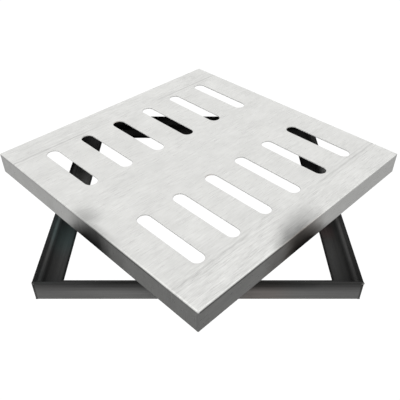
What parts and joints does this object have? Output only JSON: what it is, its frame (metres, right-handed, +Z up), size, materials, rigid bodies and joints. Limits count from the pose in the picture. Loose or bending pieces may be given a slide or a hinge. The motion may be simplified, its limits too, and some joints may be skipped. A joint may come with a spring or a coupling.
{
  "type": "drain grate",
  "caption": "Square slotted drain cover of brushed sheet with a turned-down skirt, lying turned across its square angle steel frame.",
  "frame": {"origin": "centre of the frame's underside, on the surface that it stands on", "axes": "+Z up, +X along the cover's slots, +Y across them; the frame is turned 45 degrees about Z, as it lies under the cover"},
  "size_m": [0.3991, 0.3988, 0.0435],
  "materials": {
    "cover_sheet": "brushed across the slots, satin",
    "cover_weld": "ground flush and brushed",
    "frame_angle": "dark grey, satin",
    "frame_weld": "ground flush, dark grey, satin"
  },
  "bodies": {
    "root": {"cover": "cover_sheet", "cover_weld_front": "cover_weld", "cover_weld_right": "cover_weld", "cover_weld_back": "cover_weld", "cover_weld_left": "cover_weld", "frame_rail_front": "frame_angle", "frame_rail_right": "frame_angle", "frame_rail_back": "frame_angle", "frame_rail_left": "frame_angle", "frame_weld_front_right": "frame_weld", "frame_weld_back_right": "frame_weld", "frame_weld_back_left": "frame_weld", "frame_weld_front_left": "frame_weld"}
  },
  "joints": []
}
